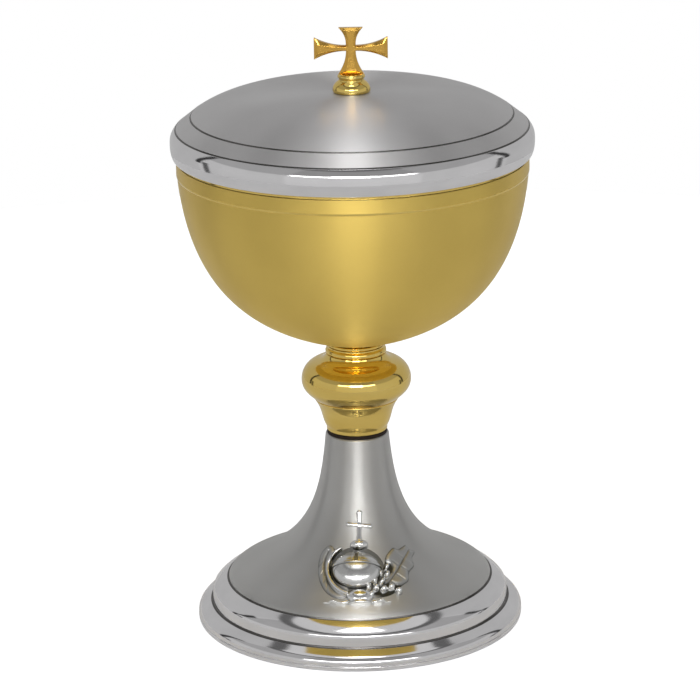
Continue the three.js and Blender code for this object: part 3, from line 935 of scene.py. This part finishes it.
def cup_bowl():
    satin, polished = 0, 1
    outline = Outline(0, BOWL_BOTTOM, polished)
    outline.line((7, BOWL_BOTTOM))
    outline.quad((11.4, 105.6), (15, 107.1), 10)
    outline.line((18, 108.05))
    outline.use(satin).cubic((39.15, 115.05), (59.46, 127.93), (62.95, BAND_BOTTOM), 64)
    outline.use(polished)
    outline.quad((BOWL_RADIUS + 0.02, BAND_BOTTOM + 0.2), (BOWL_RADIUS, BAND_BOTTOM + 0.8), 5)
    outline.use(satin).line((BOWL_RADIUS, SEAT_BOTTOM - 0.2))
    outline.use(polished).line((62.7, SEAT_BOTTOM), (62.7, RIM_TOP - 0.6))
    outline.quad((62.6, RIM_TOP), (62.1, RIM_TOP), 5)
    outline.quad((61.6, RIM_TOP), (61.5, RIM_TOP - 0.6), 5)
    outline.line((61.7, BAND_BOTTOM))
    outline.cubic((58.1, 126.8), (36.9, 115.2), (14.6, 108.3), 48)
    outline.quad((11, 106.8), (0, 106.4), 10)
    return turned("cup_bowl_fine", outline, GILT_SATIN, GILT_POLISHED)


# ---------------------------------------------------------------- lid


def crown_points(drop, start, end, steps):
    """The crown is nearly flat over the middle and turns down towards its edge."""
    points = []
    for step in range(steps + 1):
        radius = start + (end - start) * step / steps
        height = CROWN_TOP - (CROWN_TOP - CROWN_EDGE) * (radius / CROWN_RADIUS) ** 4.9
        points.append((radius, height - drop))
    return points


def lid_shell():
    # The shadowed finish is near-black polished silver: painted shade in the grooves.
    satin, polished, shadowed = 0, 1, 2
    hole = STUD_RADIUS + LOOSE_GAP
    skirt_inside = 63.1
    crown_wall = 0.9
    outline = Outline(skirt_inside, SKIRT_BOTTOM, polished)
    outline.quad((63.9, SKIRT_BOTTOM - 0.1), (64.4, 176), 8)
    outline.cubic((LID_RADIUS + 0.15, 177.6), (LID_RADIUS + 0.15, 180.4), (LID_RADIUS, 182), 12)
    outline.cubic((65, 183.3), (64.05, 184.6), (63.45, 185.35), 14)
    outline.use(shadowed).line((63.25, 185.2), (63, 185.65))
    outline.use(satin).line((60.9, 187.3), (57.95, 189.65))
    outline.use(shadowed).line((57.7, 189.45), (57.5, 189.95))
    outline.use(satin)
    outline.line(*crown_points(0, CROWN_RADIUS - 0.2, hole, 60))
    outline.line(*crown_points(crown_wall, hole, CROWN_RADIUS - 0.8, 40))
    outline.line((60.6, 186), (62.7, 185.35), (skirt_inside, 184.8))
    return turned("lid_shell_fine", outline.close(), CROWN_SATIN, SILVER_POLISHED, SILVER_GROOVE_PAINTED_SHADE)


def finial_base():
    bore = STUD_RADIUS + 0.15
    outline = Outline(0, 202.6)
    outline.line((bore, 202.6), (bore, CROWN_TOP + FACE_GAP), (6.4, CROWN_TOP + FACE_GAP))
    outline.quad((6.9, 198.1), (6.8, 198.9), 6)
    outline.cubic((6.7, 200.2), (5.9, 201.2), (4.8, 201.9), 12)
    outline.quad((4.3, 202.4), (4.6, 202.9), 5)
    outline.cubic((5.1, 203.3), (5.1, 204.1), (4.3, CROSS_BOTTOM - FACE_GAP), 10)
    outline.line((0, CROSS_BOTTOM - FACE_GAP))
    return outline


LIMB_SHARES = (-1, -0.9, -0.72, -0.5, -0.25, 0, 0.25, 0.5, 0.72, 0.9, 1)  # corners across a limb


def arm_patch(half_widths, reaches, direction, steps):
    """One limb of the cross: its corners in rows from the root out.

    half_widths and reaches are functions of 0 to 1 along the limb, and direction is a unit vector.
    """
    aside = Vector((-direction.y, direction.x))
    rows = []
    for step in range(steps + 1):
        t = step / steps
        row = []
        for share in LIMB_SHARES:
            place = direction * reaches(t) + aside * (share * half_widths(t))
            sides_cut = max(0.0, (abs(share) - 0.5) / 0.5)
            end_cut = max(0.0, (t - 0.86) / 0.14)
            row.append((place, max(sides_cut, end_cut)))
        rows.append(row)
    return rows


def finial_cross():
    """A cross whose limbs widen along hollow curves, its faces cut back towards the edges."""
    steps = 22
    face_cut = 0.75
    half_depth = CROSS_DEPTH / 2
    arm_waist = 0.95
    upright_waist = 1.75
    # direction, half width at the root and at the tip, where it starts and ends, power of its curve
    limbs = (
        (Vector((1, 0)), arm_waist, 3.9, upright_waist, CROSS_SPAN / 2, 2.1),
        (Vector((-1, 0)), arm_waist, 3.9, upright_waist, CROSS_SPAN / 2, 2.1),
        (Vector((0, 1)), upright_waist, 4.3, arm_waist, CROSS_TOP - CROSS_CENTRE, 2.6),
        (Vector((0, -1)), upright_waist, 4.4, arm_waist, CROSS_CENTRE - CROSS_BOTTOM, 2.1),
    )
    front = []
    faces = []
    found = {}

    def corner(place, cut):
        key = (round(place.x, 4), round(place.y, 4))
        if key not in found:
            found[key] = len(front)
            front.append((place, cut))
        return found[key]

    for direction, root, tip, start, end, power in limbs:
        rows = arm_patch(
            lambda t: root + (tip - root) * t ** power,
            lambda t: start + (end - start) * t,
            direction,
            steps,
        )
        for low, high in zip(rows, rows[1:]):
            for index in range(len(low) - 1):
                quad = (low[index], low[index + 1], high[index + 1], high[index])
                faces.append([corner(*item) for item in quad])
    grid = [
        [corner(Vector((x * upright_waist, y * arm_waist)), 0.0) for x in LIMB_SHARES] for y in LIMB_SHARES
    ]
    for low, high in zip(grid, grid[1:]):
        for index in range(len(low) - 1):
            faces.append([low[index], high[index], high[index + 1], low[index + 1]])
    count = len(front)
    vertices = []
    for side in (-1, 1):
        for place, cut in front:
            depth = side * (half_depth - face_cut * cut)
            vertices.append(Vector((place.x, depth, CROSS_CENTRE + place.y)) * MM)
    faces = closed_sheet(faces, count)
    sharp = math.radians(24)
    piece = make_piece("finial_cross_fine", vertices, faces, [GILT_DEEP], sharp=sharp)
    edges = piece.modifiers.new("worn_edges", "BEVEL")
    edges.width = 0.16 * MM
    edges.segments = 3
    edges.angle_limit = sharp
    piece.modifiers.move(1, 0)
    return piece


# ---------------------------------------------------------------- assembly


def build_foot():
    stands_for(foot_shell(), "foot_shell", "vessel")
    stands_for(emblem(), "emblem", "vessel")
    for place, up in POST_SEATS.items():
        seat = foot_seat(up)
        name = f"emblem_post_{place}_fine"
        post = threaded_rod(name, POST_RADIUS, bottom=-6, top=1.3, pitch=0.5, place=seat)
        stands_for(post, f"emblem_post_{place}", "vessel")
        name = f"emblem_nut_{place}_fine"
        nut = hex_nut(name, flats=4.5, bore=POST_RADIUS + LOOSE_GAP, bottom=-4.2, height=2, place=seat)
        stands_for(nut, f"emblem_nut_{place}", "vessel")


def build_stem():
    gilt = (
        ("knop_ferrule", knop_ferrule()),
        ("knop", knop()),
        ("collar_lower", collar_lower()),
        ("collar_upper", collar_upper()),
        ("cup_socket", cup_socket()),
    )
    for node, outline in gilt:
        piece = turned(f"{node}_fine", outline, GILT_POLISHED, sides=STEM_SIDES)
        stands_for(piece, node, "vessel")
    washer_outline = washer(BORE_RADIUS, 11, bottom=FOOT_TOP + FACE_GAP, top=STEM_WASHER_TOP)
    piece = turned("stem_washer_fine", washer_outline, FIBRE, sides=STEM_SIDES)
    stands_for(piece, "stem_washer", "vessel")
    tie_washer = washer(BORE_RADIUS, 9.4, bottom=67.9, top=69.3)
    fasteners = (
        ("tie_rod", threaded_rod("tie_rod_fine", 3, bottom=57.5, top=103, pitch=1.0)),
        ("tie_washer", turned("tie_washer_fine", tie_washer, STEEL, sides=SLIM_SIDES)),
        ("lock_washer", lock_washer()),
        ("tie_nut", hex_nut("tie_nut_fine", flats=10, bore=3.15, bottom=61, height=5.1)),
    )
    for node, piece in fasteners:
        stands_for(piece, node, "vessel")


def build_lid():
    bore = STUD_RADIUS + 0.15
    stands_for(lid_shell(), "lid_shell", "lid")
    base = turned("finial_base_fine", finial_base(), GILT_POLISHED, sides=SLIM_SIDES)
    stands_for(base, "finial_base", "lid")
    stands_for(finial_cross(), "finial_cross", "lid")
    finial_washer = washer(bore, 5, bottom=195.9, top=196.8)
    fasteners = (
        ("finial_stud", threaded_rod("finial_stud_fine", STUD_RADIUS, bottom=190.8, top=202.4, pitch=0.7)),
        ("finial_washer", turned("finial_washer_fine", finial_washer, STEEL, sides=SLIM_SIDES)),
        ("finial_nut", hex_nut("finial_nut_fine", flats=7, bore=bore, bottom=192.6, height=3.2)),
    )
    for node, piece in fasteners:
        stands_for(piece, node, "lid")


# ---------------------------------------------------------------- stage


def floor():
    """A round pale table just under the foot; to the camera it looks lit a little brighter."""
    shade = Shade("floor_paper")
    mottle = shade.noise(shade.position(), scale=9.0, detail=3.0)
    seen = shade.node("ShaderNodeLightPath").outputs["Is Camera Ray"]
    shade.done(
        Base_Color=shade.mix(mottle, (0.76, 0.76, 0.76, 1), (0.8, 0.8, 0.8, 1)),
        Roughness=0.9,
        Specular_IOR_Level=0.0,
        Emission_Color=(1, 1, 1, 1),
        Emission_Strength=shade.math("MULTIPLY", seen, 0.7),
    )
    outline = Outline(0, 0)
    outline.line((300, 0), (620, 0))
    disc = turned("floor", outline, shade.material, sides=128, corner=0)
    disc.location.z = -0.00002


# The light tent, as panels of (azimuths, elevations, brightness), each laid over the ones before.
# Azimuths run from 0 in front to 180 behind, on both sides; elevations are above the horizon.
TENT = (
    ((0, 180), (-90, 90), 0.55),  # the tent itself
    ((112, 180), (-90, 8), 0.48),  # its back wall, in two sheets
    ((112, 180), (9, 60), 0.48),
    ((43, 108), (25, 57), 0.38),  # the sides, higher up
    ((0, 42), (-90, 18), 0.64),  # the front, under the lamp and over it
    ((0, 42), (30, 56), 0.3),
    ((0, 40), (22, 27), 4.2),  # the front lamp and its bright middle
    ((0, 13), (21, 28), 14.5),
    ((102, 106), (-24, 6), 0.1),  # dark posts
    ((109, 113), (-5, 40), 0.03),
    ((0, 180), (57, 62), 0.12),  # a dark hoop under the top
    ((0, 180), (63, 90), 0.6),  # the top, and a lamp in the front of it
    ((0, 36), (71, 90), 4.0),
)
PANEL_EDGE = 1.5  # degrees over which a panel fades out


def world():
    """The light tent; the camera itself sees plain white in its place."""
    sky = bpy.data.worlds.new("studio")
    bpy.context.scene.world = sky
    sky.use_nodes = True
    nodes = sky.node_tree.nodes
    links = sky.node_tree.links

    def math_node(operation, *values):
        node = nodes.new("ShaderNodeMath")
        node.operation = operation
        for socket, value in zip(node.inputs, values):
            if isinstance(value, bpy.types.NodeSocket):
                links.new(value, socket)
            else:
                socket.default_value = value
        return node.outputs[0]

    def window(angle, low, high):
        node_in = math_node("MULTIPLY_ADD", math_node("SUBTRACT", angle, low), 1 / PANEL_EDGE, 1.0)
        node_out = math_node("MULTIPLY_ADD", math_node("SUBTRACT", high, angle), 1 / PANEL_EDGE, 1.0)
        clipped = math_node("MINIMUM", math_node("MINIMUM", node_in, node_out), 1.0)
        return math_node("MAXIMUM", clipped, 0.0)

    split = nodes.new("ShaderNodeSeparateXYZ")
    links.new(nodes.new("ShaderNodeTexCoord").outputs["Generated"], split.inputs[0])
    x, y, z = split.outputs
    to_degrees = 180 / math.pi
    turn = math_node("ARCTAN2", math_node("ABSOLUTE", x), math_node("MULTIPLY", y, -1.0))
    azimuth = math_node("MULTIPLY", turn, to_degrees)
    elevation = math_node("MULTIPLY", math_node("ARCSINE", z), to_degrees)
    level = 0.0
    for azimuths, elevations, brightness in TENT:
        cover = math_node("MULTIPLY", window(azimuth, *azimuths), window(elevation, *elevations))
        kept = math_node("MULTIPLY", math_node("SUBTRACT", 1.0, cover), level)
        level = math_node("MULTIPLY_ADD", cover, brightness, kept)
    seen = nodes.new("ShaderNodeLightPath").outputs["Is Camera Ray"]
    hidden = math_node("MULTIPLY", math_node("SUBTRACT", 1.0, seen), level)
    links.new(math_node("ADD", hidden, seen), nodes["Background"].inputs["Color"])


def camera():
    """The camera, aimed a hair to the left and rolled by a degree."""
    place = (0, -1.2166, 0.4790)
    focal_length = 180.09
    pitch = math.radians(17.225)
    yaw = math.radians(0.10)
    roll = math.radians(-0.989)
    forward = Vector((-math.sin(yaw) * math.cos(pitch), math.cos(yaw) * math.cos(pitch), -math.sin(pitch)))
    right = forward.cross(Vector((0, 0, 1))).normalized()
    up = right.cross(forward)
    right_rolled = right * math.cos(roll) + up * math.sin(roll)
    up_rolled = right_rolled.cross(forward)
    lens = bpy.data.cameras.new("camera")
    lens.sensor_width = 36
    lens.lens = focal_length
    lens.clip_start = 0.05
    lens.clip_end = 50
    eye = bpy.data.objects.new("camera", lens)
    bpy.context.collection.objects.link(eye)
    turn = Matrix((right_rolled, up_rolled, -forward)).transposed().to_4x4()
    eye.matrix_world = Matrix.Translation(place) @ turn
    bpy.context.scene.camera = eye
    bpy.context.scene.view_settings.view_transform = "Standard"


camera()
world()
floor()
build_foot()
build_stem()
stands_for(cup_bowl(), "cup_bowl", "vessel")
build_lid()
